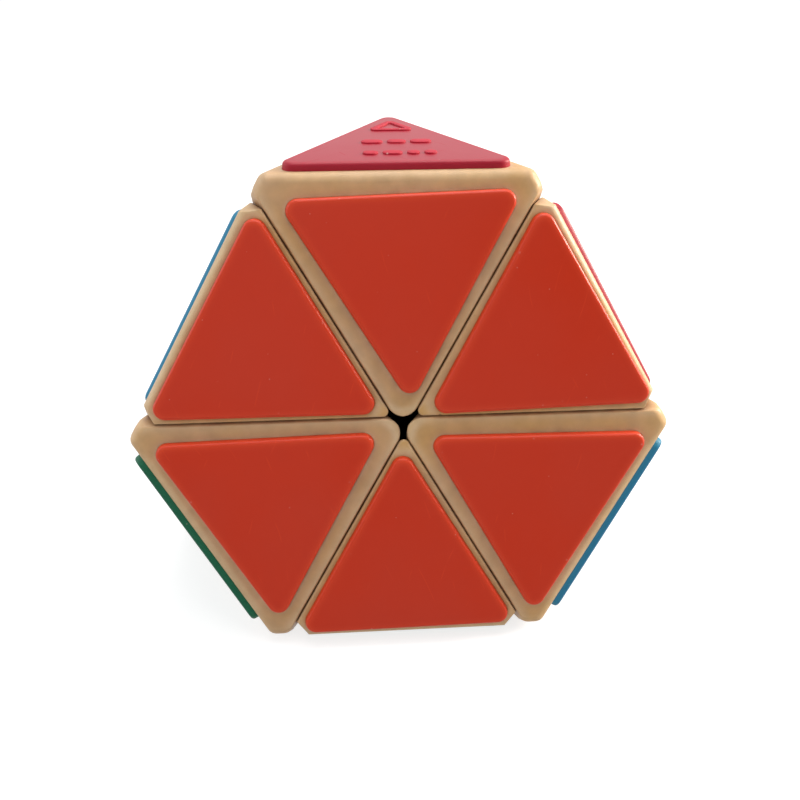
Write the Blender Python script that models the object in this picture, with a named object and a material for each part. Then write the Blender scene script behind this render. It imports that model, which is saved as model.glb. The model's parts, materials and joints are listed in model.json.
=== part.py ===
"""Corner-turning puzzle in the shape of a truncated tetrahedron.

Four corners turn on screws set in the arms of a core. Six edges lie between the corners and are held
by feet that slide round the core under the corners' bases. Every layer's cut is a surface of
revolution about its own axis, so each layer turns freely: a plane outside CONE_END, a steep cone for
the edges' necks inside it, and a wider cone for their feet under FLANGE_START.

The origin is the centre of the core, where the four axes meet. +Z runs up through the top corner, and
the front face looks towards -Y. Lengths are in metres.
"""
import math
from itertools import combinations

import bmesh
import bpy
import numpy as np
from mathutils import Matrix, Vector

MM = 0.001

# Driving dimensions
UNIT = 32.0 * MM            # side of one small triangle; the whole tetrahedron would be three units
CUT_SHIFT = 0.52 * MM       # how far each layer's cut stands outside the middle of a face
FACE_SHIFT = 0.36 * MM      # how far the large faces stand outside the tetrahedron's
CAP_SHIFT = 0.92 * MM       # how far each cap stands outside a third of the tetrahedron's edges
GAP = 0.15 * MM             # each side's share of the gap between pieces that pass each other
CLEAR = 0.3 * MM            # gap between a piece and the one that holds it
WALL = 1.6 * MM             # shell wall
EDGE_ROUND = 0.35 * MM      # rounding along the shells' outer edges
CORNER_TIPS = (1.2 * MM, 1.8 * MM)      # a corner shell's tips: rounding, and length of the change
EDGE_TIPS = (0.7 * MM, 2.0 * MM)        # the same for an edge shell

# Tiles: one equilateral shape in every place
TILE_SIDE = 28.2 * MM
TILE_CORNER = 1.4 * MM
TILE_PROUD = 0.9 * MM
TILE_CHAMFER = 0.3 * MM
SEAT_DEPTH = 0.5 * MM
SEAT_GAP = 0.15 * MM
ARC_STEPS = 2

# Tiles are set by hand. On each piece they stand off the middle of their small faces by these amounts:
# sideways, outwards from the hole, and turned in degrees.
TILE_STANDS = {
    "top": (-0.35 * MM, 0.2 * MM, 1.6),
    "back": (0.0, 0.6 * MM, -0.5),
    "left": (0.0, 0.7 * MM, 1.1),
    "right": (-0.3 * MM, 1.0 * MM, -0.7),
    "top_back": (-0.1 * MM, -0.05 * MM, 0.6),
    "top_left": (0.12 * MM, -0.15 * MM, -0.3),
    "top_right": (-0.1 * MM, 0.1 * MM, 1.2),
    "back_left": (0.1 * MM, 0.1 * MM, -0.9),
    "back_right": (0.0, -0.1 * MM, 0.5),
    "left_right": (0.0, 0.0, 0.5),
}
CAP_TILE_FORWARD = 0.35 * MM    # how far the caps beside the front face have their tiles moved towards it

# Core, from the centre outwards
BALL_R = 8.0 * MM
FOOT_START = 8.2 * MM       # feet and stems begin here
FLANGE_START = 11.6 * MM    # bases' flanges begin here, above the feet
NECK_CONE = math.radians(62.0)
FOOT_CONE = math.radians(74.0)
CONE_SLACK = math.radians(0.7)
POST_R = 2.8 * MM
POST_TOP = 13.0 * MM
PILOT_R = 1.65 * MM
PILOT_START = 3.5 * MM

# Corner base
STEM_R = 4.5 * MM
STEM_BORE_R = 3.1 * MM
LEDGE = (13.4 * MM, 14.8 * MM)
LEDGE_BORE_R = 1.7 * MM
TOWER_TOP = 23.2 * MM
PLATE_THICK = 1.8 * MM
FLANGE_RIM = math.radians(30)       # where the flange's round back ends, from its own axis
FLANGE_STEPS = (4, 3)               # under the flange, and over its back
DRIVER_HOLE_R = 3.6 * MM

# Screw and spring
SHAFT_R = 1.35 * MM
SHAFT_START = 4.2 * MM
HEAD = (20.6 * MM, 22.6 * MM)
HEAD_R = 2.8 * MM
HEAD_SLOPE = (0.5 * MM, 1.1 * MM)       # the head's upper edge: how far down and in it slopes
SHAFT_POINT_R = 0.7 * MM
CROSS_WIDTH = 0.7 * MM
CROSS_LENGTH = 3.6 * MM
CROSS_DEPTH = 1.1 * MM
SPRING = (15.5 * MM, 19.9 * MM)
SPRING_R = 2.3 * MM
WIRE_R = 0.33 * MM
SPRING_TURNS = 4
STEPS_PER_TURN = 9
WIRE_SIDES = 5

# Edge foot: how far foot and neck reach along the edge, as angles seen from the centre
FOOT_REACH = math.radians(38)
NECK_REACH = math.radians(26)
NECK_OVERLAP = 0.6 * MM
PLUG = (13.0 * MM, 19.0 * MM)
PLUG_HALF = (4.5 * MM, 1.3 * MM)

# Worked out from the driving dimensions
FACE_AT = UNIT * math.sqrt(6) / 4 + FACE_SHIFT
CAP_AT = UNIT * 5 * math.sqrt(6) / 12 + CAP_SHIFT
CUT_AT = FACE_AT / 3 + CUT_SHIFT
HALF_WIDTH = UNIT * math.sqrt(3) / 2
CONE_END = CUT_AT / math.cos(NECK_CONE)
LEAN = 2 * math.sqrt(2) / 3
HALF_APART = math.acos(-1 / 3) / 2      # from an edge's middle direction to each of its axes

ROUND_STEPS = 24
SMALL_STEPS = 12
MERGE = 0.002 * MM

AXES = {
    "top": Vector((0, 0, 1)),
    "back": Vector((0, LEAN, -1 / 3)),
    "left": Vector((-LEAN * math.sqrt(3) / 2, -LEAN / 2, -1 / 3)),
    "right": Vector((LEAN * math.sqrt(3) / 2, -LEAN / 2, -1 / 3)),
}
# the large face opposite each axis
FACES = {"front": "back", "leftside": "right", "rightside": "left", "bottom": "top"}
FACE_COLOURS = {"front": "orange", "leftside": "blue", "rightside": "red", "bottom": "green"}
CAP_COLOURS = {"top": "red", "left": "green", "right": "blue", "back": "orange"}

MATERIALS = {
    "body": ((0.62, 0.48, 0.33), 0.5, 0.0),
    "orange": ((0.56, 0.05, 0.014), 0.3, 0.0),
    "red": ((0.48, 0.01, 0.035), 0.3, 0.0),
    "green": ((0.004, 0.12, 0.055), 0.3, 0.0),
    "blue": ((0.01, 0.14, 0.3), 0.3, 0.0),
    "black": ((0.012, 0.011, 0.01), 0.55, 0.0),
    "steel": ((0.5, 0.49, 0.47), 0.35, 1.0),
}


def clear_scene():
    for item in list(bpy.data.objects):
        bpy.data.objects.remove(item, do_unlink=True)


def material(name):
    found = bpy.data.materials.get(name)
    if found:
        return found
    colour, roughness, metallic = MATERIALS[name]
    made = bpy.data.materials.new(name)
    made.use_nodes = True
    shader = made.node_tree.nodes["Principled BSDF"]
    shader.inputs["Base Color"].default_value = (*colour, 1)
    shader.inputs["Roughness"].default_value = roughness
    shader.inputs["Metallic"].default_value = metallic
    return made


# Building blocks ---------------------------------------------------------------------------------

def link(name, data):
    made = bpy.data.objects.new(name, data)
    bpy.context.scene.collection.objects.link(made)
    return made


def from_bmesh(bm, name):
    bmesh.ops.recalc_face_normals(bm, faces=bm.faces)
    mesh = bpy.data.meshes.new(name)
    bm.to_mesh(mesh)
    bm.free()
    return link(name, mesh)


def hull(points):
    bm = bmesh.new()
    for point in points:
        bm.verts.new(point)
    out = bmesh.ops.convex_hull(bm, input=bm.verts)
    spare = [g for g in out["geom_interior"] + out["geom_unused"] if isinstance(g, bmesh.types.BMVert)]
    bmesh.ops.delete(bm, geom=list(set(spare)), context="VERTS")
    bmesh.ops.dissolve_limit(bm, angle_limit=math.radians(0.5), verts=bm.verts, edges=bm.edges)
    return from_bmesh(bm, "hull")


def corners_between(planes):
    """The vertices of the solid that lies under every plane, each with the planes that meet there."""
    normals = np.array([tuple(n) for n, _ in planes])
    heights = np.array([h for _, h in planes])
    found = []
    for trio in combinations(range(len(planes)), 3):
        matrix = normals[list(trio)]
        if abs(np.linalg.det(matrix)) < 1e-6:
            continue
        point = np.linalg.solve(matrix, heights[list(trio)])
        if (normals @ point <= heights + 1e-9).all():
            found.append((Vector(point), trio))
    return found


def plane_solid(planes):
    """A convex solid under the given (normal, height) planes."""
    return hull([point for point, _ in corners_between(planes)])


def rounded_solid(planes, rounding, tip_rounding, tip_length):
    """A convex solid with a small rounding along its edges and a larger one at its tips."""
    normals = [normal for normal, _ in planes]
    points = []
    for point, trio in corners_between([(n, h - tip_rounding) for n, h in planes]):
        meeting = [normals[i] for i in trio]
        directions = meeting + [a + b for a, b in combinations(meeting, 2)] + [sum(meeting, Vector())]
        points += [point + tip_rounding * d.normalized() for d in directions]
    for (start, trio), (end, other_trio) in combinations(corners_between(planes), 2):
        shared = [normals[i] for i in trio if i in other_trio]
        if len(shared) != 2 or (end - start).length < 3 * tip_length:
            continue
        inwards = sum(shared, Vector()) * rounding / (1 + shared[0].dot(shared[1]))
        step = (end - start).normalized() * tip_length
        for place_on_edge in (start + step, end - step):
            for direction in (*shared, sum(shared, Vector())):
                points.append(place_on_edge - inwards + rounding * direction.normalized())
    return hull(points)


def turn_to(axis):
    return Vector((0, 0, 1)).rotation_difference(axis).to_matrix().to_4x4()


def lathe(profile, axis=AXES["top"], steps=ROUND_STEPS):
    """A turned solid about an axis through the origin. The profile holds (radius, height) points."""
    bm = bmesh.new()
    line = [bm.verts.new((r, 0, z)) for r, z in profile]
    ends = [bm.edges.new(pair) for pair in zip(line, line[1:] + line[:1])]
    if profile[0][0] == 0 and profile[-1][0] == 0:
        bm.edges.remove(ends.pop())
    bmesh.ops.spin(bm, geom=line + ends, cent=(0, 0, 0), axis=(0, 0, 1), angle=2 * math.pi,
                   steps=steps, use_merge=True)
    bmesh.ops.remove_doubles(bm, verts=bm.verts, dist=MERGE)
    bmesh.ops.transform(bm, matrix=turn_to(axis), verts=bm.verts)
    return from_bmesh(bm, "lathe")


def ball(radius, outside=False):
    """A faceted ball that stays inside the radius, or outside it for a cutter."""
    bm = bmesh.new()
    rings = ROUND_STEPS // 2
    spread = 1 / math.cos(math.pi / ROUND_STEPS) ** 2 if outside else 1
    bmesh.ops.create_uvsphere(bm, u_segments=ROUND_STEPS, v_segments=rings, radius=radius * spread)
    return from_bmesh(bm, "ball")


def cone(axis, half_angle, outside=False):
    """A solid cone with its point at the origin, reaching past every inner piece."""
    reach = 2 * CONE_END
    spread = 1 / math.cos(math.pi / ROUND_STEPS) if outside else 1
    height = reach * math.cos(half_angle)
    return lathe([(0, 0), (reach * math.sin(half_angle) * spread, height), (0, height)], axis)


def box(low, high, turn=None):
    bm = bmesh.new()
    bmesh.ops.create_cube(bm, size=1)
    middle = [(a + b) / 2 for a, b in zip(low, high)]
    size = [b - a for a, b in zip(low, high)]
    matrix = (turn or Matrix()) @ Matrix.Translation(middle) @ Matrix.Diagonal((*size, 1))
    bmesh.ops.transform(bm, matrix=matrix, verts=bm.verts)
    return from_bmesh(bm, "box")


def combine(target, operation, *others):
    """Apply Booleans with the other objects in turn, and remove them."""
    for other in others:
        step = target.modifiers.new(operation.lower(), "BOOLEAN")
        step.operation = operation
        step.solver = "EXACT"
        step.object = other
        graph = bpy.context.evaluated_depsgraph_get()
        mesh = bpy.data.meshes.new_from_object(target.evaluated_get(graph))
        target.modifiers.clear()
        target.data = mesh
        bpy.data.objects.remove(other, do_unlink=True)
    return target


def cut(target, *others):
    return combine(target, "DIFFERENCE", *others)


def join(target, *others):
    return combine(target, "UNION", *others)


def clean(mesh):
    """Merge the slivers that Booleans leave."""
    bm = bmesh.new()
    bm.from_mesh(mesh)
    bmesh.ops.remove_doubles(bm, verts=bm.verts, dist=MERGE)
    bmesh.ops.dissolve_degenerate(bm, edges=bm.edges, dist=MERGE)
    bmesh.ops.triangulate(bm, faces=bm.faces)
    bm.to_mesh(mesh)
    bm.free()


def taken(source):
    """A solid's mesh; its object is removed."""
    mesh = source.data
    bpy.data.objects.remove(source, do_unlink=True)
    return mesh


def finish(source, name, material_name, smooth_below=35):
    """Turn a finished solid into a mesh with its material."""
    mesh = taken(source)
    mesh.name = name
    clean(mesh)
    mesh.materials.clear()
    mesh.materials.append(material(material_name))
    mesh.shade_smooth()
    mesh.set_sharp_from_angle(angle=math.radians(smooth_below))
    return mesh


def place(mesh, name, matrix, parent, colour=None):
    made = link(name, mesh)
    made.parent = parent
    made.matrix_world = matrix
    if colour:
        made.material_slots[0].link = "OBJECT"
        made.material_slots[0].material = material(colour)
    return made


# Where things stand ------------------------------------------------------------------------------

def frame_of(first, second):
    """Turns that carry the top axis to the first one and the back axis to the second."""
    def basis(a, b):
        side = a.cross(b).normalized()
        return Matrix((a, side.cross(a), side)).transposed()
    return (basis(first, second) @ basis(AXES["top"], AXES["back"]).transposed()).to_4x4()


def others_of(*names):
    return [name for name in AXES if name not in names]


def along_face(face_axis, axis):
    """The direction of an axis within the large face opposite face_axis."""
    return (axis - axis.dot(face_axis) * face_axis).normalized()


def tile_matrix(normal, height, towards, offset):
    """Local +Z is the face's normal, and local +Y points to the tile's apex."""
    side = towards.cross(normal)
    turn = Matrix((side, towards, normal)).transposed().to_4x4()
    return Matrix.Translation(normal * height + towards * offset) @ turn


def tile_places(*piece):
    """(face name, matrix at the face) of each face tile of a corner, or of the edge between two."""
    sideways, outwards, turn = TILE_STANDS["_".join(piece)]
    stand = Matrix.Translation((sideways, -outwards, 0)) @ Matrix.Rotation(math.radians(turn), 4, "Z")
    for face, opposite in FACES.items():
        if opposite in piece:
            continue
        axis = AXES[opposite]
        if len(piece) == 1:
            inwards = -along_face(axis, AXES[piece[0]])
            apex = 2 * (CUT_SHIFT - GAP) / LEAN
        else:
            third = next(n for n in others_of(*piece) if n != opposite)
            inwards = along_face(axis, AXES[third])
            apex = -2 * (CUT_SHIFT + GAP) / LEAN
        middle = (HALF_WIDTH + apex) / 3 - HALF_WIDTH
        yield face, tile_matrix(-axis, FACE_AT, inwards, middle) @ stand


def cap_place(corner):
    towards = along_face(AXES[corner], AXES[others_of(corner)[0]])
    place_on_axis = tile_matrix(AXES[corner], CAP_AT, towards, 0.0)
    if corner == FACES["front"]:
        return place_on_axis
    forward = -along_face(AXES[corner], AXES[FACES["front"]])
    return Matrix.Translation(forward * CAP_TILE_FORWARD) @ place_on_axis


# Pieces ------------------------------------------------------------------------------------------

def tile_outline(side, radius):
    """A rounded equilateral triangle about the origin with its apex towards +Y."""
    reach = side / math.sqrt(3) - 2 * radius
    points = []
    for corner in range(3):
        middle = math.pi / 2 + corner * 2 * math.pi / 3
        centre = Vector((math.cos(middle), math.sin(middle))) * reach
        for step in range(ARC_STEPS + 1):
            angle = middle + (step / ARC_STEPS - 0.5) * 2 * math.pi / 3
            points.append(centre + radius * Vector((math.cos(angle), math.sin(angle))))
    return points


def tile_prism(bottom, top, grow=0.0, chamfer=0.0):
    wide = tile_outline(TILE_SIDE + 2 * math.sqrt(3) * grow, TILE_CORNER + grow)
    narrow = tile_outline(TILE_SIDE - 2 * math.sqrt(3) * chamfer, TILE_CORNER - chamfer)
    points = [(*p, bottom) for p in wide]
    points += [(*p, top - chamfer) for p in wide]
    if chamfer:
        points += [(*p, top) for p in narrow]
    return hull(points)


def tile_mesh():
    solid = tile_prism(SEAT_GAP - SEAT_DEPTH, TILE_PROUD, chamfer=TILE_CHAMFER)
    return finish(solid, "tile", "orange")


def seated_shell(blank, name, matrix, tiles):
    """A shell's blank with seats cut where its tiles stand, in the blank's own frame."""
    shell = link(name, blank.copy())
    for tile in tiles:
        seat = tile_prism(-SEAT_DEPTH, TILE_PROUD, grow=SEAT_GAP)
        seat.data.transform(matrix.inverted() @ tile)
        cut(shell, seat)
    return finish(shell, name, "body")


def corner_planes(inset, side_inset):
    """Planes of the top corner: its cap, three large faces and three cuts of the other layers."""
    planes = [(AXES["top"], CAP_AT - inset)]
    for name in others_of("top"):
        planes.append((-AXES[name], FACE_AT - inset))
        planes.append((AXES[name], CUT_AT - GAP - side_inset))
    return planes


def corner_shell_blank():
    """A cup, open towards the core, with a hole for the screwdriver under its cap tile."""
    floor = (-AXES["top"], -(CUT_AT + GAP))
    shell = rounded_solid(corner_planes(0, 0) + [floor], EDGE_ROUND, *CORNER_TIPS)
    cut(shell, plane_solid(corner_planes(WALL, WALL)))
    cut(shell, ball(CONE_END + GAP, outside=True))
    cut(shell, lathe([(0, CAP_AT - 2 * WALL), (DRIVER_HOLE_R, CAP_AT - 2 * WALL),
                      (DRIVER_HOLE_R, CAP_AT + WALL), (0, CAP_AT + WALL)]))
    return taken(shell)


def arc(radius, start, end, steps):
    """Points of a profile on a sphere about the centre, by their angle from the axis."""
    angles = [start + (end - start) * step / steps for step in range(steps + 1)]
    return [(radius * math.sin(angle), radius * math.cos(angle)) for angle in angles]


def corner_base_mesh():
    """Closes the corner: flange over the feet, plate in the shell's mouth, stem, ledge and tower."""
    spread = 1 / math.cos(math.pi / ROUND_STEPS) ** 2
    stem_end = (FOOT_START + GAP) * spread
    under = (FLANGE_START + GAP) * spread
    back = CONE_END - GAP
    rim = NECK_CONE - CONE_SLACK
    profile = [(r, math.sqrt(stem_end ** 2 - r ** 2)) for r in (STEM_BORE_R, STEM_R)]
    profile += arc(under, math.asin(STEM_R / under), rim, FLANGE_STEPS[0])
    profile += arc(back, rim, FLANGE_RIM, FLANGE_STEPS[1])
    profile += [(STEM_R, back * math.cos(FLANGE_RIM)), (STEM_R, TOWER_TOP), (STEM_BORE_R, TOWER_TOP)]
    profile += [(r, LEDGE[1]) for r in (STEM_BORE_R, LEDGE_BORE_R)]
    profile += [(r, LEDGE[0]) for r in (LEDGE_BORE_R, STEM_BORE_R)]
    base = lathe(profile)

    low = CUT_AT + GAP
    inset = WALL + CLEAR
    plate = plane_solid(corner_planes(inset, inset)[1:]
                        + [(-AXES["top"], -low), (AXES["top"], low + PLATE_THICK)])
    join(base, cut(plate, ball(CONE_END - WALL)))
    for name in others_of("top"):
        cut(base, cone(AXES[name], NECK_CONE + CONE_SLACK, outside=True))
    return finish(base, "corner_base", "black")


def edge_planes(inset):
    """Planes of the edge between top and back: two layers' cuts and two large faces."""
    planes = [(-AXES[name], -(CUT_AT + GAP) - inset) for name in ("top", "back")]
    return planes + [(-AXES[name], FACE_AT - inset) for name in ("left", "right")]


def edge_box(reach, half_long, half_wide):
    """A box along the middle direction of the edge between top and back."""
    middle = (AXES["top"] + AXES["back"]).normalized()
    along = AXES["top"].cross(AXES["back"]).normalized()
    turn = Matrix((middle.cross(along), along, middle)).transposed().to_4x4()
    return box((-half_wide, -half_long, reach[0]), (half_wide, half_long, reach[1]), turn)


def edge_shell_blank():
    """A hollow tetrahedron with a slot in its inner edge for the foot's plug."""
    shell = rounded_solid(edge_planes(0), EDGE_ROUND, *EDGE_TIPS)
    cut(shell, plane_solid(edge_planes(WALL)))
    cut(shell, ball(CONE_END + GAP, outside=True))
    cut(shell, edge_box((FLANGE_START, PLUG[1]), PLUG_HALF[0] + CLEAR, PLUG_HALF[1] + CLEAR))
    return taken(shell)


def wedge(cone_angle, reach, inner, outer, steps=5):
    """A block between two spheres that stays inside the cones of both top and back.

    It runs to the angle reach on each side along the edge. At the angle phi along the edge, the cones
    leave it an angle of half on each side of the edge's middle plane.
    """
    middle = (AXES["top"] + AXES["back"]).normalized()
    along = AXES["top"].cross(AXES["back"]).normalized()
    across = along.cross(middle)
    bm = bmesh.new()
    rings = []
    for step in range(steps + 1):
        phi = reach * (2 * step / steps - 1)
        flat, upright = math.cos(HALF_APART) * math.cos(phi), math.sin(HALF_APART)
        half = math.acos(math.cos(cone_angle) / math.hypot(flat, upright)) - math.atan2(upright, flat)
        spine = math.cos(phi) * middle + math.sin(phi) * along
        ring = []
        for radius, sides in ((inner, (-1, 0, 1)), (outer, (1, 0, -1))):
            for side in sides:
                psi = half * side
                ring.append(bm.verts.new(radius * (math.cos(psi) * spine + math.sin(psi) * across)))
        rings.append(ring)
    for ring, following in zip(rings, rings[1:]):
        for here in range(len(ring)):
            after = (here + 1) % len(ring)
            bm.faces.new((ring[here], ring[after], following[after], following[here]))
    bm.faces.new(rings[0])
    bm.faces.new(rings[-1])
    return from_bmesh(bm, "wedge")


def edge_foot_mesh():
    """Foot round the core, neck between the flanges, and plug into the shell."""
    foot = wedge(FOOT_CONE - CONE_SLACK, FOOT_REACH, FOOT_START + CLEAR, FLANGE_START - GAP)
    neck = wedge(NECK_CONE - CONE_SLACK, NECK_REACH, FLANGE_START - NECK_OVERLAP, CONE_END - GAP)
    join(foot, neck, edge_box(PLUG, *PLUG_HALF))
    return finish(foot, "edge_foot", "black")


def core_mesh():
    core = ball(BALL_R)
    for axis in AXES.values():
        join(core, lathe([(0, 0), (POST_R, 0), (POST_R, POST_TOP), (0, POST_TOP)], axis, SMALL_STEPS))
    for axis in AXES.values():
        cut(core, lathe([(0, PILOT_START), (PILOT_R, PILOT_START), (PILOT_R, 2 * POST_TOP),
                         (0, 2 * POST_TOP)], axis, SMALL_STEPS))
    return finish(core, "core", "black")


def screw_mesh():
    low, high = HEAD
    screw = lathe([(0, SHAFT_START), (SHAFT_POINT_R, SHAFT_START), (SHAFT_R, SHAFT_START + SHAFT_R),
                   (SHAFT_R, low), (HEAD_R, low), (HEAD_R, high - HEAD_SLOPE[0]),
                   (HEAD_R - HEAD_SLOPE[1], high), (0, high)], steps=SMALL_STEPS)
    half, wide = CROSS_LENGTH / 2, CROSS_WIDTH / 2
    bottom = high - CROSS_DEPTH
    cross = join(box((-half, -wide, bottom), (half, wide, high + CROSS_DEPTH)),
                 box((-wide, -half, bottom), (wide, half, high + CROSS_DEPTH)))
    cut(screw, cross)
    return finish(screw, "screw", "steel")


def spring_mesh():
    """A coil with closed ends."""
    bm = bmesh.new()
    steps = int(SPRING_TURNS * STEPS_PER_TURN)
    low, high = SPRING
    rings = []
    for step in range(steps + 1):
        angle = step / STEPS_PER_TURN * 2 * math.pi
        height = low + (high - low) * step / steps
        outward = Vector((math.cos(angle), math.sin(angle), 0))
        ring = []
        for side in range(WIRE_SIDES):
            around = side / WIRE_SIDES * 2 * math.pi
            reach = SPRING_R + WIRE_R * math.cos(around)
            ring.append(bm.verts.new(outward * reach + Vector((0, 0, height + WIRE_R * math.sin(around)))))
        rings.append(ring)
    for ring, following in zip(rings, rings[1:]):
        for side in range(WIRE_SIDES):
            after = (side + 1) % WIRE_SIDES
            bm.faces.new((ring[side], ring[after], following[after], following[side]))
    bm.faces.new(rings[0])
    bm.faces.new(rings[-1])
    return finish(from_bmesh(bm, "spring"), "spring", "steel")


# Assembly ----------------------------------------------------------------------------------------

def holder(name):
    """An empty at the centre, where every hinge axis passes."""
    empty = link(name, None)
    empty.empty_display_size = 5 * MM
    return empty


def add_corners(tile, core_body):
    blank, base = corner_shell_blank(), corner_base_mesh()
    screw, spring = screw_mesh(), spring_mesh()
    for name, axis in AXES.items():
        body = holder(f"corner_{name}")
        matrix = frame_of(axis, AXES[others_of(name)[0]])
        tiles = dict(tile_places(name))
        shell = seated_shell(blank, f"corner_shell_{name}", matrix, [*tiles.values(), cap_place(name)])
        place(shell, f"corner_shell_{name}", matrix, body)
        place(base, f"corner_base_{name}", matrix, body)
        place(screw, f"screw_{name}", matrix, core_body)
        place(spring, f"spring_{name}", matrix, core_body)
        for face, spot in tiles.items():
            place(tile, f"tile_{name}_{face}", spot, body, FACE_COLOURS[face])
        place(tile, f"tile_{name}_cap", cap_place(name), body, CAP_COLOURS[name])


def add_edges(tile):
    blank, foot = edge_shell_blank(), edge_foot_mesh()
    for first, second in combinations(AXES, 2):
        name = f"{first}_{second}"
        body = holder(f"edge_{name}")
        matrix = frame_of(AXES[first], AXES[second])
        tiles = dict(tile_places(first, second))
        shell = seated_shell(blank, f"edge_shell_{name}", matrix, tiles.values())
        place(shell, f"edge_shell_{name}", matrix, body)
        place(foot, f"edge_foot_{name}", matrix, body)
        for face, spot in tiles.items():
            place(tile, f"tile_{name}_{face}", spot, body, FACE_COLOURS[face])


def main():
    clear_scene()
    core_body = holder("core_body")
    place(core_mesh(), "core", Matrix(), core_body)
    tile = tile_mesh()
    add_corners(tile, core_body)
    add_edges(tile)


main()
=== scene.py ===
"""The truncated tetrahedron puzzle's looks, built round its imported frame.

Fine shells and tiles stand for the plain CAD nodes, each in the same place and riding on the same body.
The inner parts are the CAD nodes themselves, with new materials. Sizes and places come from the frame.
Every mesh holds its place in its vertices, so a material's object coordinates are the frame's own.
Lengths are in metres.
"""
import json
import math
from itertools import combinations

import bmesh
import bpy
import numpy as np
from mathutils import Matrix, Vector

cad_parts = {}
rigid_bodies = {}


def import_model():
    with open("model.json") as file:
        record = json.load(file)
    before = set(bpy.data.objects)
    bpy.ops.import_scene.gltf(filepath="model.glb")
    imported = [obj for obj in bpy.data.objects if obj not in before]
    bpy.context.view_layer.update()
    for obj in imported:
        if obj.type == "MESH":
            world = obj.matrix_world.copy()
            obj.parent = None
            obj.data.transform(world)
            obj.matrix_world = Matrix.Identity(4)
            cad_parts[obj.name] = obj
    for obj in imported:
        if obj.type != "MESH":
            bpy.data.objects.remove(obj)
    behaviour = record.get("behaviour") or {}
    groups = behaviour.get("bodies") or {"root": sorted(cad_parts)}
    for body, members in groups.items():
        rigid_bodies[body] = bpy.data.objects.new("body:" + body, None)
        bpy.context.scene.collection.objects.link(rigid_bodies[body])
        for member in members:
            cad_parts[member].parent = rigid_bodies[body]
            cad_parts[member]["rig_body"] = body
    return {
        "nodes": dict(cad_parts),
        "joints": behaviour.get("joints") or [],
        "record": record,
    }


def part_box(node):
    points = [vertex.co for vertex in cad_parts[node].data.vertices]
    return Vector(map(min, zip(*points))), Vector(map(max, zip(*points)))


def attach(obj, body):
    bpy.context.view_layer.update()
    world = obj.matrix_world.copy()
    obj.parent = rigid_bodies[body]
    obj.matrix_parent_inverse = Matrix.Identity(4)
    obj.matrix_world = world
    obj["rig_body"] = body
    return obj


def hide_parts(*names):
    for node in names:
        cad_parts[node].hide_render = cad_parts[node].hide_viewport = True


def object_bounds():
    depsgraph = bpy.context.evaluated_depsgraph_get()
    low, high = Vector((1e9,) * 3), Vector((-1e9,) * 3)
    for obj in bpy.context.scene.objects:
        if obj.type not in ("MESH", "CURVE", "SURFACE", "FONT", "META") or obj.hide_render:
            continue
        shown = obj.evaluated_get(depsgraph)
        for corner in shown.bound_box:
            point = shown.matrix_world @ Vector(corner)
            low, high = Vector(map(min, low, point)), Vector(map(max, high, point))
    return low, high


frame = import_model()
cad_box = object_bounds()

MM = 0.001

# The frame's layout --------------------------------------------------------------------------------

AXES = {joint["child"]: Vector(joint["axis"]).normalized()
        for joint in frame["joints"] if joint["parent"] == "core"}
SLOTS = {row["node"]: row["material_slot"] for row in frame["record"]["subparts"]}
OPPOSITE = {"front": "back", "leftside": "right", "rightside": "left", "bottom": "top"}

CAP_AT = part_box("corner_shell_top")[1].z
FACE_AT = -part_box("corner_shell_back")[0].z
LAYER_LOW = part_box("corner_shell_top")[0].z         # the top layer's lowest surface
LAYER_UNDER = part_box("corner_shell_back")[1].z      # the highest surface under the top layer
CUT_AT = (LAYER_LOW + LAYER_UNDER) / 2
TILE_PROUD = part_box("tile_top_cap")[1].z - CAP_AT
TILE_SUNK = CAP_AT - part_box("tile_top_cap")[0].z
NECK_ANGLE = math.radians(62)                       # of the cone between two layers, from its axis
CONE_END = CUT_AT / math.cos(NECK_ANGLE)            # the sphere round the inner parts

# Shells
WALL = 1.6 * MM
SEAM = 0.06 * MM                # each side's share of the thin seam between pieces
SEAM_ROUND = 0.28 * MM          # rounding along the seams
OUTER_ROUND = 0.9 * MM          # rounding along the edges between large faces
CAP_ROUND = 1.4 * MM            # rounding along the edges of the small cap faces
# Rounding of the tips at the holes, of the outer tips, and how far along an edge it fades
CORNER_TIPS = (1.5 * MM, 1.3 * MM, 2.0 * MM)
EDGE_TIPS = (0.7 * MM, 1.9 * MM, 3.0 * MM)
SEAT_PLAY = 0.02 * MM
DRIVER_HOLE = 3.6 * MM          # radius
# Half the slot's length and width, and its ends' distances from the core's centre
PLUG_SLOT = ((4.8 * MM, 1.6 * MM), (11.6 * MM, 19.0 * MM))
ROUNDING_STEPS = 6
BALL_STEPS = 64
SHARP_ABOVE = math.radians(32)  # edges that shade sharp on shells and tiles

# Tiles
TILE_CORNER = 1.4 * MM
TILE_EDGE = 0.45 * MM           # rounding of the upper edge
TILE_EDGE_STEPS = 6
TILE_DRAFT = 0.06 * MM          # how far the side leans in
TILE_CROWN = 0.03 * MM
CROWN_RINGS = (0.06, 0.2, 0.45, 0.75)   # shares of the way from the flat top's rim to its middle
TILE_ARC_STEPS = 10
SMALLEST_CORNER = 0.25 * MM     # of the outline's inner rings

# Relief on the top cap
RELIEF = 0.16 * MM
RELIEF_ROUND = 0.1 * MM
RELIEF_ROUND_STEPS = 3
RELIEF_SHARP_ABOVE = math.radians(40)
EMBLEM_AT = 8.2 * MM            # the triangle's middle, from the cap's middle
EMBLEM_SIDE = 6.4 * MM
EMBLEM_WIDTH = 0.75 * MM
EMBLEM_CORNER = 0.8 * MM
# Each row of dashes in millimetres: its lower and upper edge, and the left and right end of each dash
DASH_ROWS = (
    (0.0, 1.5, ((-3.9, -1.3), (-0.8, 1.5), (2.0, 4.6))),
    (-5.0, -3.6, ((-3.8, -2.0), (-1.5, 0.8), (1.3, 2.8), (3.3, 4.8))),
)

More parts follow.
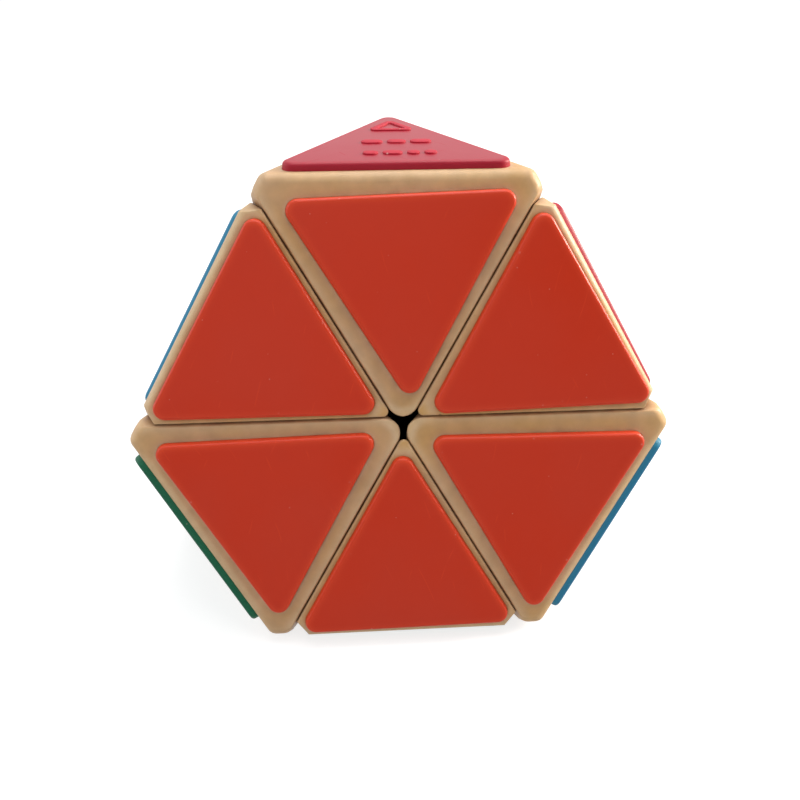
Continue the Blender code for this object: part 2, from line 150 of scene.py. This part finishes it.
# Tolerances
PARALLEL = 1e-6                 # least determinant of three planes that meet in a point
ON_PLANE = 1e-9
MERGED = 0.001 * MM
SMALL_TURN = math.radians(0.5)  # flat faces are joined below this angle

# Colours and textures
CREAM_CLEAN = (0.615, 0.37, 0.19)
CREAM_AGED = (0.645, 0.36, 0.11)
# Painted highlight: the paler cream put on the shells' rounded edges
CREAM_EDGE_HIGHLIGHT = (0.84, 0.68, 0.46)
# Grime, and painted shade in the creases beside the tiles and at the seams
GRIME_AND_SHADE = (0.22, 0.085, 0.045)
CREAM_SPECK = (0.10, 0.05, 0.02)
DUST = (0.85, 0.68, 0.58)
CHIP = (0.85, 0.70, 0.60)
# Each tile's own colour, the paler one at its edges (worn, and partly a painted highlight) and on its
# scratches, and its haze
TILE_SHADES = {
    "orange_tile": ((0.67, 0.034, 0.006), (0.90, 0.085, 0.018), (0.62, 0.044, 0.018)),
    "red_tile": ((0.38, 0.003, 0.018), (0.52, 0.010, 0.034), (0.36, 0.010, 0.036)),
    "green_tile": ((0.003, 0.10, 0.045), (0.02, 0.22, 0.11), (0.012, 0.13, 0.07)),
    "blue_tile": ((0.008, 0.14, 0.31), (0.04, 0.33, 0.50), (0.02, 0.18, 0.33)),
}
BLACK = (0.010, 0.009, 0.009)
BLACK_RUBBED = (0.05, 0.048, 0.046)
STEEL_BRIGHT = (0.56, 0.55, 0.53)
STEEL_DULL = (0.40, 0.38, 0.34)
PLASTIC_IOR = 1.5
CREASE_SAMPLES = 6
WAVE_PITCH = 0.314              # between a wave texture's lines at a scale of 1


def link(name, data):
    made = bpy.data.objects.new(name, data)
    bpy.context.scene.collection.objects.link(made)
    return made


def from_bmesh(bm, name):
    bmesh.ops.recalc_face_normals(bm, faces=bm.faces)
    mesh = bpy.data.meshes.new(name)
    bm.to_mesh(mesh)
    bm.free()
    return link(name, mesh)


# Materials -----------------------------------------------------------------------------------------

class Finish:
    """A Principled material and its node tree. Its textures use the frame's coordinates in millimetres."""

    def __init__(self, name, **values):
        self.material = bpy.data.materials.new(name)
        self.material.use_nodes = True
        self.tree = self.material.node_tree
        self.shader = self.tree.nodes["Principled BSDF"]
        for key, value in values.items():
            self.set(key.replace("_", " "), value)
        place = self.tree.nodes.new("ShaderNodeTexCoord").outputs["Object"]
        self.place = self.vector("SCALE", place, scale=1 / MM)

    def set(self, name, value):
        self.plug(self.shader.inputs[name], value)

    def plug(self, socket, value):
        if isinstance(value, bpy.types.NodeSocket):
            self.tree.links.new(value, socket)
        elif isinstance(value, (tuple, list)) and len(value) == 3 and socket.type == "RGBA":
            socket.default_value = (*value, 1)
        else:
            socket.default_value = value

    def node(self, kind, inputs=None, **settings):
        made = self.tree.nodes.new(kind)
        for key, value in settings.items():
            setattr(made, key, value)
        for key, value in (inputs or {}).items():
            self.plug(made.inputs[key], value)
        return made

    def vector(self, operation, *values, scale=None):
        inputs = dict(enumerate(values))
        if scale is not None:
            inputs["Scale"] = scale
        return self.node("ShaderNodeVectorMath", inputs, operation=operation).outputs[0]

    def math(self, operation, *values, clamp=False):
        made = self.node("ShaderNodeMath", dict(enumerate(values)), operation=operation, use_clamp=clamp)
        return made.outputs[0]

    def noise(self, scale, detail, stretch=None, shift=0.0):
        """Noise with a feature size of about 1 / scale millimetres."""
        place = self.place
        if stretch:
            place = self.node("ShaderNodeMapping", {"Vector": place, "Scale": stretch}).outputs[0]
        if shift:
            place = self.vector("ADD", place, (shift, shift, shift))
        return self.node("ShaderNodeTexNoise", {"Vector": place, "Scale": scale,
                                                "Detail": detail}).outputs["Fac"]

    def between(self, value, low, high, to_low=0.0, to_high=1.0):
        """The value's share of the way from low to high, held at the ends."""
        inputs = {"Value": value, "From Min": low, "From Max": high, "To Min": to_low, "To Max": to_high}
        return self.node("ShaderNodeMapRange", inputs, clamp=True).outputs[0]

    def mix(self, share, first, second, blend="MIX"):
        """Two colours mixed. The node's sockets 0, 6 and 7 are the ones for a colour mix."""
        made = self.node("ShaderNodeMix", data_type="RGBA", blend_type=blend)
        for index, value in ((0, share), (6, first), (7, second)):
            self.plug(made.inputs[index], value)
        return made.outputs[2]

    def crease(self, distance, inside=False):
        """0 on open surface and 1 in a corner: in front of the surface, or behind it for its edges."""
        made = self.node("ShaderNodeAmbientOcclusion", {"Distance": distance}, samples=CREASE_SAMPLES,
                         inside=inside, only_local=inside)
        return self.math("SUBTRACT", 1.0, made.outputs["AO"])

    def specks(self, density, size, shift=0.0):
        """1 on small round spots, of which only some of a field of points appear."""
        place = self.vector("ADD", self.place, (shift, shift, shift))
        spots = self.node("ShaderNodeTexVoronoi", {"Vector": place, "Scale": density})
        chosen = self.between(self.node("ShaderNodeSeparateColor",
                                        {0: spots.outputs["Color"]}).outputs[0], 0.72, 0.78)
        near = self.between(spots.outputs["Distance"], size * density, size * density * 0.6)
        return self.math("MULTIPLY", chosen, near)

    def scratches(self, pitch, turn, shift):
        """1 on short, thin, slightly bent lines that show only in places."""
        place = self.node("ShaderNodeMapping", {"Vector": self.place, "Rotation": turn}).outputs[0]
        inputs = {"Vector": place, "Scale": WAVE_PITCH / pitch, "Distortion": 5.0, "Detail": 1.0,
                  "Detail Scale": 0.6}
        waves = self.node("ShaderNodeTexWave", inputs, wave_type="BANDS")
        line = self.between(waves.outputs["Fac"], 0.996, 0.9995)
        shown = self.between(self.noise(0.3, detail=1, shift=shift), 0.60, 0.68)
        return self.math("MULTIPLY", line, shown)

    def bump(self, height, depth, normal=None):
        """Moves the surface by up to depth where height is 1."""
        inputs = {"Height": height, "Distance": depth, "Strength": 1.0}
        if normal:
            inputs["Normal"] = normal
        return self.node("ShaderNodeBump", inputs).outputs[0]


def cream_plastic():
    """Aged cream shells: yellowed in patches, with a painted highlight on their edges, and grime and
    painted shade beside the tiles.
    """
    finish = Finish("cream_plastic", IOR=PLASTIC_IOR)
    edges = finish.crease(WALL - 0.1 * MM, inside=True)
    tips = finish.between(edges, 0.35, 0.7)
    patches = finish.between(finish.noise(0.07, detail=2), 0.42, 0.62)
    streaks = finish.between(finish.noise(0.3, detail=3, shift=31), 0.35, 0.75)
    aged = finish.math("ADD", finish.math("MULTIPLY", tips, 0.6), finish.math("MULTIPLY", patches, 0.45))
    aged = finish.math("ADD", aged, finish.math("MULTIPLY", streaks, 0.3), clamp=True)
    colour = finish.mix(aged, CREAM_CLEAN, CREAM_AGED)
    # Painted highlight: the rounded edges are mixed halfway towards a pale cream
    edge_wear_and_highlight = finish.math("MULTIPLY", finish.between(edges, 0.08, 0.35),
                         finish.between(edges, 0.75, 0.45))
    colour = finish.mix(finish.math("MULTIPLY", edge_wear_and_highlight, 0.5), colour, CREAM_EDGE_HIGHLIGHT)
    mottle = finish.between(finish.noise(0.6, detail=4, shift=7), 0.3, 0.7, 0.92, 1.06)
    mottle = finish.node("ShaderNodeCombineColor", {0: mottle, 1: mottle, 2: mottle}).outputs[0]
    colour = finish.mix(1.0, colour, mottle, "MULTIPLY")
    # Partly grime, partly painted shade: the cream darkens towards brown close to the tiles and seams,
    # patchy with noise
    beside = finish.between(finish.crease(1.2 * MM), 0.06, 0.5)
    grime_and_shade = finish.math("MULTIPLY", beside,
                       finish.between(finish.noise(0.45, detail=4, shift=3), 0.3, 0.7, 0.4, 1.0))
    colour = finish.mix(finish.math("MULTIPLY", grime_and_shade, 0.75), colour, GRIME_AND_SHADE)
    colour = finish.mix(finish.math("MULTIPLY", finish.specks(0.22, 0.22), 0.6), colour, CREAM_SPECK)
    finish.set("Base Color", colour)
    grain = finish.noise(2.2, detail=3)
    finish.set("Roughness", finish.between(grain, 0.3, 0.7, 0.38, 0.52))
    waves = finish.bump(finish.noise(0.22, detail=2), 0.12 * MM)
    finish.set("Normal", finish.bump(grain, 0.006 * MM, waves))
    return finish.material


def tile_plastic(name, deep, worn_and_highlight, haze):
    """Glossy moulded tiles: paler at their edges, partly from wear and chips and partly as a painted
    highlight, with haze, fine scratches and dust.
    """
    finish = Finish(name, IOR=PLASTIC_IOR)
    edges = finish.between(finish.crease(1.1 * MM, inside=True), 0.10, 0.55)
    cloud = finish.between(finish.noise(0.055, detail=3), 0.2, 0.8)
    colour = finish.mix(finish.math("MULTIPLY", cloud, 0.5), deep, haze)
    # Partly wear, partly painted highlight: the rounded edges are mixed most of the way to the paler colour
    colour = finish.mix(finish.math("MULTIPLY", edges, 0.85), colour, worn_and_highlight)
    scratches = finish.math("MAXIMUM", finish.scratches(2.3, (0.4, 0.3, 0.9), 5),
                            finish.scratches(3.1, (1.1, 0.2, -0.6), 23))
    colour = finish.mix(finish.math("MULTIPLY", scratches, 0.22), colour, worn_and_highlight)
    dust = finish.math("MAXIMUM", finish.specks(0.28, 0.10), finish.specks(0.7, 0.06, shift=11))
    colour = finish.mix(finish.math("MULTIPLY", dust, 0.55), colour, DUST)
    chips = finish.math("MULTIPLY", finish.specks(0.9, 0.16, shift=41), edges)
    colour = finish.mix(finish.math("MULTIPLY", chips, 0.5), colour, CHIP)
    finish.set("Base Color", colour)
    rough = finish.between(cloud, 0.0, 1.0, 0.27, 0.40)
    rough = finish.math("ADD", rough, finish.math("MULTIPLY", scratches, 0.15))
    rough = finish.math("ADD", rough, finish.math("MULTIPLY", edges, 0.3))
    finish.set("Roughness", finish.math("ADD", rough, finish.math("MULTIPLY", dust, 0.3), clamp=True))
    waves = finish.bump(finish.noise(0.12, detail=1), 0.04 * MM)
    finish.set("Normal", finish.bump(finish.noise(1.3, detail=2), 0.004 * MM, waves))
    return finish.material


def black_plastic():
    """Matt inner parts, with moulding grain and rubbed, greyer edges."""
    finish = Finish("black_plastic", IOR=PLASTIC_IOR)
    edge_wear_and_highlight = finish.math("MULTIPLY", finish.between(finish.crease(0.6 * MM, inside=True), 0.3, 0.8), 0.5)
    finish.set("Base Color", finish.mix(edge_wear_and_highlight, BLACK, BLACK_RUBBED))
    grain = finish.noise(3.0, detail=4)
    finish.set("Roughness", finish.between(grain, 0.3, 0.7, 0.42, 0.66))
    finish.set("Normal", finish.bump(grain, 0.01 * MM))
    return finish.material


def plated_steel():
    """Zinc plated screws and springs, with dull patches and fine drawing lines."""
    finish = Finish("plated_steel", Metallic=1.0)
    dull = finish.between(finish.noise(0.5, detail=3), 0.35, 0.7)
    finish.set("Base Color", finish.mix(dull, STEEL_BRIGHT, STEEL_DULL))
    lines = finish.noise(1.0, detail=2, stretch=(6, 6, 0.6))
    finish.set("Roughness", finish.between(lines, 0.3, 0.7, 0.24, 0.42))
    finish.set("Normal", finish.bump(lines, 0.002 * MM))
    return finish.material


FINISHES = {
    "cream_plastic": cream_plastic(),
    **{name: tile_plastic(name, *shades) for name, shades in TILE_SHADES.items()},
    "black_plastic": black_plastic(),
    "steel": plated_steel(),
}


# Building blocks -----------------------------------------------------------------------------------

def hull(points):
    bm = bmesh.new()
    for point in points:
        bm.verts.new(point)
    out = bmesh.ops.convex_hull(bm, input=bm.verts)
    spare = [g for g in out["geom_interior"] + out["geom_unused"] if isinstance(g, bmesh.types.BMVert)]
    bmesh.ops.delete(bm, geom=list(set(spare)), context="VERTS")
    bmesh.ops.dissolve_limit(bm, angle_limit=SMALL_TURN, verts=bm.verts, edges=bm.edges)
    return from_bmesh(bm, "hull")


def corners_between(planes):
    """The vertices of the solid that lies under every plane, each with the planes that meet there."""
    normals = np.array([tuple(n) for n, _ in planes])
    heights = np.array([h for _, h in planes])
    found = []
    for trio in combinations(range(len(planes)), 3):
        matrix = normals[list(trio)]
        if abs(np.linalg.det(matrix)) < PARALLEL:
            continue
        point = np.linalg.solve(matrix, heights[list(trio)])
        if (normals @ point <= heights + ON_PLANE).all():
            found.append((Vector(point), trio))
    return found


def plane_solid(planes):
    return hull([point for point, _ in corners_between(planes)])


def directions_between(first, second, third=None):
    """Unit vectors spread evenly between two or three normals."""
    for i in range(ROUNDING_STEPS + 1):
        left = ROUNDING_STEPS - i
        for j in range(left + 1) if third else (left,):
            mixed = i * first + j * second
            if third:
                mixed = mixed + (left - j) * third
            yield mixed.normalized()


def rounded_tips(faces, cuts, hole_round, outer_round):
    """Spheres at a shell's tips, but at a hole an upright rounding between the two cuts."""
    def tips(face_inset, cut_inset):
        planes = [(n, h - face_inset) for n, h in faces] + [(n, h - cut_inset) for n, h in cuts]
        for point, trio in corners_between(planes):
            yield point, [planes[i][0] for i in trio], sum(i >= len(faces) for i in trio)

    points = []
    for point, normals, cuts_here in tips(outer_round, outer_round):
        if cuts_here < 2:
            points += [point + outer_round * d for d in directions_between(*normals)]
    for point, normals, cuts_here in tips(hole_round, hole_round):
        if cuts_here == 3:
            points += [point + hole_round * d for d in directions_between(*normals)]
    for point, normals, cuts_here in tips(SEAM_ROUND, hole_round):
        if cuts_here != 2:
            continue
        face, first, second = normals
        upright = first.cross(second).normalized()
        for side in directions_between(first, second):
            reach = (hole_round - SEAM_ROUND) * side
            rim = point + reach - upright * reach.dot(face) / upright.dot(face)
            points += [rim + SEAM_ROUND * d for d in directions_between(side, face)]
    return points


def rounded_shell(faces, cuts, hole_round, outer_round, tip_length, cap=None):
    """A convex solid under the planes, with small roundings along its edges and larger ones at its tips."""
    faces = faces + [cap] if cap else faces
    planes = faces + cuts
    points = rounded_tips(faces, cuts, hole_round, outer_round)
    for (start, trio), (end, other_trio) in combinations(corners_between(planes), 2):
        shared = [i for i in trio if i in other_trio]
        if len(shared) != 2 or (end - start).length < 3 * tip_length:
            continue
        cuts_here = sum(i >= len(faces) for i in shared)
        radius = (OUTER_ROUND, SEAM_ROUND, hole_round)[cuts_here]
        if cap and faces.index(cap) in shared:
            radius = CAP_ROUND
        first, second = (planes[i][0] for i in shared)
        inwards = (first + second) * radius / (1 + first.dot(second))
        step = (end - start).normalized() * tip_length
        for spot in (start + step, end - step):
            points += [spot - inwards + radius * d for d in directions_between(first, second)]
    return hull(points)


def ball(radius):
    bm = bmesh.new()
    bmesh.ops.create_uvsphere(bm, u_segments=BALL_STEPS, v_segments=BALL_STEPS // 2, radius=radius)
    return from_bmesh(bm, "ball")


def rod(radius, low, high):
    """A round rod along Z, spun from its outline."""
    bm = bmesh.new()
    line = [bm.verts.new((x, 0, z)) for x, z in ((0, low), (radius, low), (radius, high), (0, high))]
    outline = [bm.edges.new(pair) for pair in zip(line, line[1:])]
    bmesh.ops.spin(bm, geom=line + outline, cent=(0, 0, 0), axis=(0, 0, 1), angle=2 * math.pi,
                   steps=BALL_STEPS, use_merge=True)
    bmesh.ops.remove_doubles(bm, verts=bm.verts, dist=MERGED)
    return from_bmesh(bm, "rod")


def cut(target, *others):
    """Take the other objects out of the target, in turn, and remove them."""
    for other in others:
        step = target.modifiers.new("cut", "BOOLEAN")
        step.operation = "DIFFERENCE"
        step.solver = "EXACT"
        step.object = other
        graph = bpy.context.evaluated_depsgraph_get()
        mesh = bpy.data.meshes.new_from_object(target.evaluated_get(graph))
        target.modifiers.clear()
        target.data = mesh
        bpy.data.objects.remove(other, do_unlink=True)


def taken(source):
    """A finished solid's mesh; its object is removed."""
    mesh = source.data
    bpy.data.objects.remove(source, do_unlink=True)
    return mesh


def moved(mesh, matrix):
    """A moved copy of a mesh."""
    made = mesh.copy()
    made.transform(matrix)
    return made


def add_piece(name, mesh, node):
    """A piece in place that stands for a CAD node: it takes its body, its finish and its slot."""
    mesh.name = name
    mesh.materials.clear()
    mesh.materials.append(FINISHES[SLOTS[node]])
    mesh.shade_smooth()
    mesh.set_sharp_from_angle(angle=SHARP_ABOVE)
    made = link(name, mesh)
    weigh = made.modifiers.new("flat faces stay flat", "WEIGHTED_NORMAL")
    weigh.keep_sharp = True
    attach(made, frame["nodes"][node]["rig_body"])
    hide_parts(node)


# Where things stand --------------------------------------------------------------------------------

def frame_of(first, second):
    """Turns that carry the top axis to the first one and the back axis to the second."""
    def basis(a, b):
        side = a.cross(b).normalized()
        return Matrix((a, side.cross(a), side)).transposed()
    return (basis(first, second) @ basis(AXES["top"], AXES["back"]).transposed()).to_4x4()


def others_of(*names):
    return [name for name in AXES if name not in names]


def outward_of(tile):
    """The outward normal of the face that a tile lies on, from its node's name."""
    corner, face = tile.split("_")[1], tile.split("_")[-1]
    return AXES[corner] if face == "cap" else -AXES[OPPOSITE[face]]


def tile_place(tile):
    """A CAD tile's place: its centre at its face's plane, +Z outwards, +Y towards one of its corners."""
    normal = outward_of(tile)
    points = [v.co for v in frame["nodes"][tile].data.vertices]
    side = normal.orthogonal().normalized()
    across = normal.cross(side)
    centre = sum(points, Vector()) / len(points)
    spread = [complex((p - centre).dot(side), (p - centre).dot(across)) for p in points]
    threefold = sum(z ** 3 for z in spread)
    angle = math.atan2(threefold.imag, threefold.real) / 3
    towards = math.cos(angle) * side + math.sin(angle) * across
    height = CAP_AT if tile.endswith("cap") else FACE_AT
    turn = Matrix((towards.cross(normal), towards, normal)).transposed().to_4x4()
    centre += (height - centre.dot(normal)) * normal
    return Matrix.Translation(centre) @ turn


TILE_NODES = sorted(name for name in frame["nodes"] if name.startswith("tile_"))
TILE_PLACES = {name: tile_place(name) for name in TILE_NODES}


def tile_side():
    """The tiles' side without rounding, from the width of the cap tile's edge along X."""
    low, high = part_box("tile_top_cap")
    return high.x - low.x + 2 * (math.sqrt(3) - 1) * TILE_CORNER


TILE_SIDE = tile_side()


# Tiles ---------------------------------------------------------------------------------------------

def tile_outline(inset, side=TILE_SIDE, corner=TILE_CORNER):
    """A rounded triangle, brought in by the inset, with its apex towards +Y."""
    radius = max(corner - inset, SMALLEST_CORNER)
    reach = (side - 2 * math.sqrt(3) * inset) / math.sqrt(3) - 2 * radius
    points = []
    for third in range(3):
        middle = math.pi / 2 + third * 2 * math.pi / 3
        centre = Vector((math.cos(middle), math.sin(middle))) * reach
        for step in range(TILE_ARC_STEPS + 1):
            angle = middle + (step / TILE_ARC_STEPS - 0.5) * 2 * math.pi / 3
            points.append(centre + radius * Vector((math.cos(angle), math.sin(angle))))
    return points


def stacked(loops, closed=False):
    """A solid from loops of points, each joined to the next; closed joins the last to the first."""
    bm = bmesh.new()
    rings = [[bm.verts.new(point) for point in loop] for loop in loops]
    for lower, upper in zip(rings, rings[1:] + rings[:1] if closed else rings[1:]):
        for here in range(len(lower)):
            after = (here + 1) % len(lower)
            bm.faces.new((lower[here], lower[after], upper[after], upper[here]))
    if not closed:
        bm.faces.new(rings[0])
        bm.faces.new(rings[-1])
    return taken(from_bmesh(bm, "stacked"))


def rounding(radius, steps):
    """(inset, drop) pairs round a quarter turn, from the side to the top."""
    angles = [step / steps * math.pi / 2 for step in range(steps + 1)]
    return [(radius * (1 - math.cos(angle)), radius * (1 - math.sin(angle))) for angle in angles]


def tile_mesh():
    """Leaning side, rounded upper edge, and a top with a slight crown."""
    rim = TILE_PROUD - TILE_CROWN
    rings = [(0, -TILE_SUNK), (0, 0)]
    rings += [(TILE_DRAFT + inset, rim - drop) for inset, drop in rounding(TILE_EDGE, TILE_EDGE_STEPS)]
    flat = TILE_DRAFT + TILE_EDGE
    inner = TILE_SIDE / (2 * math.sqrt(3))
    for share in CROWN_RINGS:
        rings.append((flat + share * (inner - flat), rim + TILE_CROWN * (1 - (1 - share) ** 2)))
    return stacked([[(*point, height) for point in tile_outline(inset)] for inset, height in rings])


def seat_cutter(place):
    """The space a tile fills in a shell, with a hair of play."""
    outline = tile_outline(-SEAT_PLAY)
    cutter = hull([(*p, z) for z in (-TILE_SUNK - SEAT_PLAY, TILE_PROUD) for p in outline])
    cutter.data.transform(place)
    return cutter


# Relief on the top cap: a plain triangle and two rows of dashes

def dash(left, right, low, high):
    """A raised bar with rounded ends and a rounded upper edge."""
    half = (high - low) / 2
    middle = (low + high) / 2

    def outline(inset):
        points = []
        for centre, turn in ((right - half, -math.pi / 2), (left + half, math.pi / 2)):
            for step in range(TILE_ARC_STEPS + 1):
                angle = turn + step / TILE_ARC_STEPS * math.pi
                points.append((centre + (half - inset) * math.cos(angle),
                               middle + (half - inset) * math.sin(angle)))
        return points

    rim = rounding(RELIEF_ROUND, RELIEF_ROUND_STEPS)
    heights = [(0, -RELIEF)] + [(inset, RELIEF - drop) for inset, drop in rim]
    return stacked([[(*point, height) for point in outline(inset)] for inset, height in heights])


def emblem():
    """A raised triangular ring with rounded upper edges."""
    def loop(inset, height):
        return [(x, y + EMBLEM_AT, height) for x, y in tile_outline(inset, EMBLEM_SIDE, EMBLEM_CORNER)]

    rim = rounding(RELIEF_ROUND, RELIEF_ROUND_STEPS)
    loops = [loop(0, -RELIEF)] + [loop(inset, RELIEF - drop) for inset, drop in rim]
    loops += [loop(EMBLEM_WIDTH - inset, RELIEF - drop) for inset, drop in reversed(rim)]
    loops.append(loop(EMBLEM_WIDTH, -RELIEF))
    return stacked(loops, closed=True)


def add_relief():
    slot = SLOTS["tile_top_cap"]
    place = TILE_PLACES["tile_top_cap"] @ Matrix.Translation((0, 0, TILE_PROUD))
    shapes = [emblem()]
    for low, high, dashes in DASH_ROWS:
        shapes += [dash(left * MM, right * MM, low * MM, high * MM) for left, right in dashes]
    for number, mesh in enumerate(shapes):
        mesh.transform(place)
        mesh.materials.append(FINISHES[slot])
        mesh.shade_smooth()
        mesh.set_sharp_from_angle(angle=RELIEF_SHARP_ABOVE)
        piece = link(f"cap_relief_{number + 1}", mesh)
        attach(piece, "top")


# Shells --------------------------------------------------------------------------------------------
# Planes as (outward normal, height), brought in by the inset

def corner_cap(inset):
    return AXES["top"], CAP_AT - inset


def corner_faces(inset):
    return [(-AXES[name], FACE_AT - inset) for name in others_of("top")]


def corner_cuts(inset):
    return [(AXES[name], CUT_AT - SEAM - inset) for name in others_of("top")]


def corner_blank():
    """The top corner's shell without seats: a cup with a hole for the screwdriver under its cap tile."""
    floor = (-AXES["top"], -(CUT_AT + SEAM))
    shell = rounded_shell(corner_faces(0), corner_cuts(0) + [floor], *CORNER_TIPS, corner_cap(0))
    cut(shell, plane_solid(corner_faces(WALL) + [corner_cap(WALL)] + corner_cuts(WALL)),
        ball(CONE_END + SEAM))
    cut(shell, rod(DRIVER_HOLE, CAP_AT - 2 * WALL, CAP_AT + WALL))
    return taken(shell)


def edge_faces(inset):
    return [(-AXES[name], FACE_AT - inset) for name in ("left", "right")]


def edge_cuts(inset):
    return [(-AXES[name], -(CUT_AT + SEAM) - inset) for name in ("top", "back")]


def edge_blank():
    """The shell between top and back without seats, with a slot in its inner edge for the foot's plug."""
    shell = rounded_shell(edge_faces(0), edge_cuts(0), *EDGE_TIPS)
    cut(shell, plane_solid(edge_faces(WALL) + edge_cuts(WALL)), ball(CONE_END + SEAM))
    middle = (AXES["top"] + AXES["back"]).normalized()
    along = AXES["top"].cross(AXES["back"]).normalized()
    turn = Matrix((middle.cross(along), along, middle)).transposed().to_4x4()
    (half_long, half_wide), (low, high) = PLUG_SLOT
    slot = hull([(x, y, z) for x in (-half_wide, half_wide) for y in (-half_long, half_long)
                 for z in (low, high)])
    slot.data.transform(turn)
    cut(shell, slot)
    return taken(shell)


# Assembly ------------------------------------------------------------------------------------------

def seated(blank, matrix, piece):
    """A shell's mesh in place, with a seat for each of the piece's tiles."""
    shell = link("shell", moved(blank, matrix))
    for name, place in TILE_PLACES.items():
        if name.split("_")[1:-1] == piece:
            cut(shell, seat_cutter(place))
    return taken(shell)


def add_shells():
    blank = corner_blank()
    for name, axis in AXES.items():
        matrix = frame_of(axis, AXES[others_of(name)[0]])
        add_piece(f"shell_{name}", seated(blank, matrix, [name]), f"corner_shell_{name}")
    blank = edge_blank()
    for first, second in combinations(AXES, 2):
        matrix = frame_of(AXES[first], AXES[second])
        mesh = seated(blank, matrix, [first, second])
        add_piece(f"shell_{first}_{second}", mesh, f"edge_shell_{first}_{second}")


def add_tiles():
    mesh = tile_mesh()
    for tile, place in TILE_PLACES.items():
        add_piece(f"fine_{tile}", moved(mesh, place), tile)


def finish_inner_parts():
    """The CAD nodes that stay take their procedural materials."""
    for name, node in frame["nodes"].items():
        if node.hide_render:
            continue
        for held in node.material_slots:
            held.material = FINISHES[SLOTS[name]]


# Setting -------------------------------------------------------------------------------------------

CAMERA_AT = Vector((-4.7, -90.94, 56.82)) * MM
CAMERA_AZIMUTH = math.radians(-3.4)
CAMERA_ELEVATION = math.radians(33.0)
CAMERA_LENS = 33.2
SENSOR_WIDTH = 36.0
NEAREST_SEEN = 1 * MM

FLOOR_RADIUS = 4.0
FLOOR_STEPS = 96
FLOOR_SHADES = ((0.40, 0.40, 0.40), (0.44, 0.44, 0.44))
FLOOR_GLOW = (0.15, 0.74)       # for other rays, and for the camera

SKY = (0.96, 0.965, 0.97, 1)
SKY_FROM = (-0.7, 0.08)         # the direction's Y on the camera's side, and the strength there
SKY_TO = (0.3, 0.9)             # and on the far side

# Each lamp's place, size, power and colour, and whether it shows in gloss
LAMPS = {
    "overhead": ((0.05, 0.08, 0.45), 0.40, 1.1, (1, 1, 1), True),
    "front_fill": ((-0.12, -0.5, 0.30), 0.5, 0.9, (1, 1, 1), False),
    "low_right": ((0.40, 0.06, 0.17), 0.14, 2.2, (1.0, 0.92, 0.80), True),
    "sky_left": ((-0.42, 0.02, 0.16), 0.40, 0.4, (0.80, 0.90, 1.0), True),
}


def add_camera():
    data = bpy.data.cameras.new("camera")
    data.lens = CAMERA_LENS
    data.sensor_width = SENSOR_WIDTH
    data.clip_start = NEAREST_SEEN
    made = link("camera", data)
    turn = Matrix.Rotation(CAMERA_AZIMUTH, 4, "Z")
    tilt = Matrix.Rotation(math.pi / 2 - CAMERA_ELEVATION, 4, "X")
    made.matrix_world = Matrix.Translation(CAMERA_AT) @ (turn @ tilt)
    bpy.context.scene.camera = made


def add_floor():
    """A plain pale floor under the lowest tiles, seen almost white and lighting them only a little."""
    bm = bmesh.new()
    bmesh.ops.create_circle(bm, cap_ends=True, segments=FLOOR_STEPS, radius=FLOOR_RADIUS)
    bmesh.ops.translate(bm, vec=(0, 0, cad_box[0].z), verts=bm.verts)
    floor = from_bmesh(bm, "floor")
    shade = Finish("floor", Roughness=0.9)
    shade.set("Base Color", shade.mix(shade.noise(0.2, detail=2), *FLOOR_SHADES))
    shade.set("Emission Color", (1, 1, 1))
    seen = shade.node("ShaderNodeLightPath").outputs["Is Camera Ray"]
    shade.set("Emission Strength", shade.between(seen, 0.0, 1.0, *FLOOR_GLOW))
    floor.data.materials.append(shade.material)
    floor.visible_glossy = False


def add_lamp(name, place, size, power, colour, seen_in_gloss):
    """A square soft lamp that points at the puzzle."""
    data = bpy.data.lights.new(name, "AREA")
    data.shape = "SQUARE"
    data.size = size
    data.energy = power
    data.color = colour
    lamp = link(name, data)
    aim = Vector(place).to_track_quat("Z", "Y").to_matrix().to_4x4()
    lamp.matrix_world = Matrix.Translation(place) @ aim
    lamp.visible_glossy = seen_in_gloss


def add_world():
    """Pale all round for the camera; for light and reflections, dim on the camera's side."""
    world = bpy.data.worlds.new("studio")
    bpy.context.scene.world = world
    world.use_nodes = True
    tree = world.node_tree
    nodes, links = tree.nodes, tree.links
    background = nodes["Background"]
    place = nodes.new("ShaderNodeTexCoord")
    split = nodes.new("ShaderNodeSeparateXYZ")
    links.new(place.outputs["Generated"], split.inputs[0])
    share = nodes.new("ShaderNodeMapRange")
    share.inputs["From Min"].default_value, share.inputs["To Min"].default_value = SKY_FROM
    share.inputs["From Max"].default_value, share.inputs["To Max"].default_value = SKY_TO
    links.new(split.outputs["Y"], share.inputs["Value"])
    path = nodes.new("ShaderNodeLightPath")
    seen = nodes.new("ShaderNodeMix")
    links.new(path.outputs["Is Camera Ray"], seen.inputs[0])
    links.new(share.outputs[0], seen.inputs[2])
    seen.inputs[3].default_value = 1.0
    links.new(seen.outputs[0], background.inputs["Strength"])
    background.inputs["Color"].default_value = SKY


def add_studio():
    add_floor()
    add_world()
    for name, settings in LAMPS.items():
        add_lamp(name, *settings)
    add_camera()
    bpy.context.scene.view_settings.view_transform = "Standard"


add_shells()
add_tiles()
add_relief()
finish_inner_parts()
add_studio()
